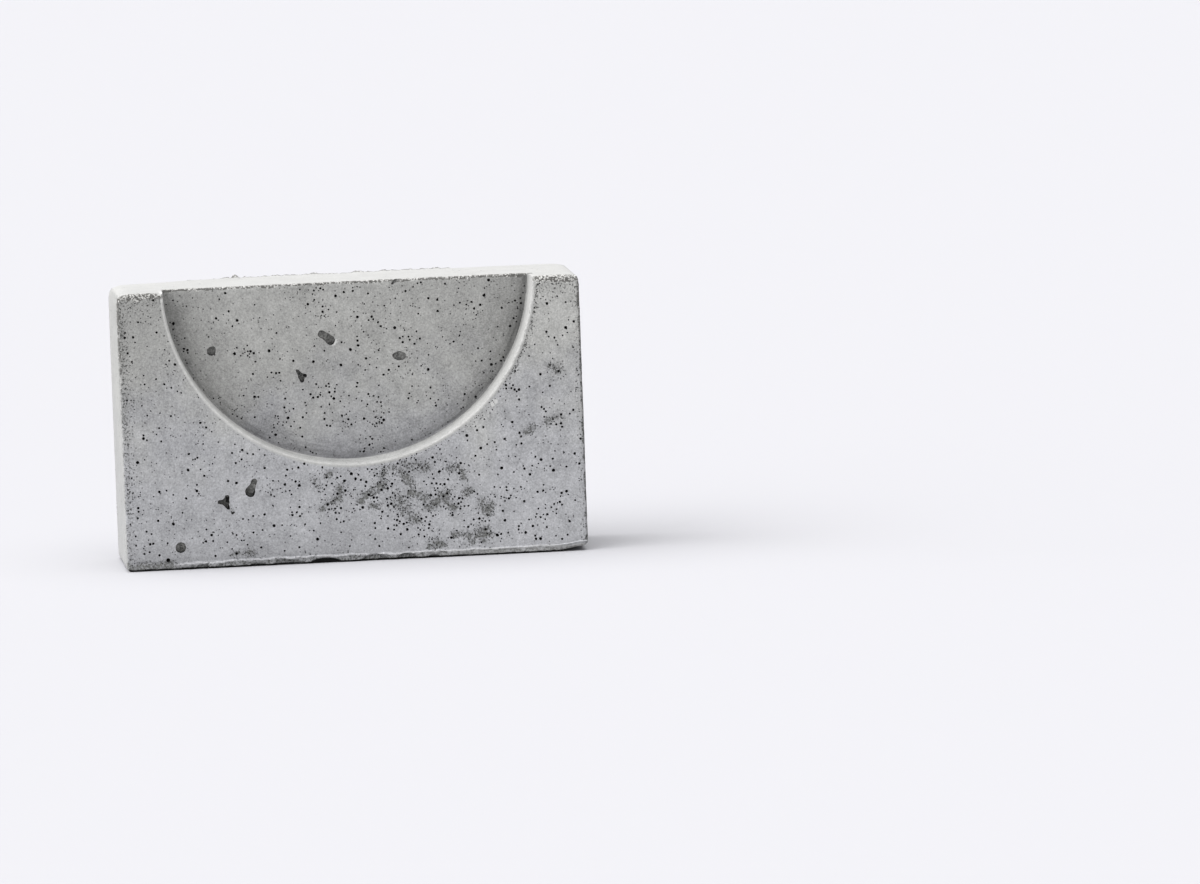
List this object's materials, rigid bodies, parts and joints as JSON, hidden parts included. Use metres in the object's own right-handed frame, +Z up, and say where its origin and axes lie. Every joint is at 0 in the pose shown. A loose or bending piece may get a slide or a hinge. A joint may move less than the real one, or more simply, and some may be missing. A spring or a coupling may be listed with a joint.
{
  "type": "breeze block",
  "caption": "Solid cast concrete block standing on its long edge, with a shallow half-round pocket in the front face that is open at the top edge.",
  "frame": {"origin": "middle of the underside, on the floor", "axes": "+X along the length, +Y through the thickness from the pocketed front face to the plain back face, +Z up to the open edge of the pocket"},
  "size_m": [0.25, 0.07, 0.15],
  "materials": {
    "concrete": "matt cast concrete, grey, pitted with small air holes, sandy at the arrises"
  },
  "bodies": {
    "root": {"concrete_block": "concrete"}
  },
  "joints": []
}
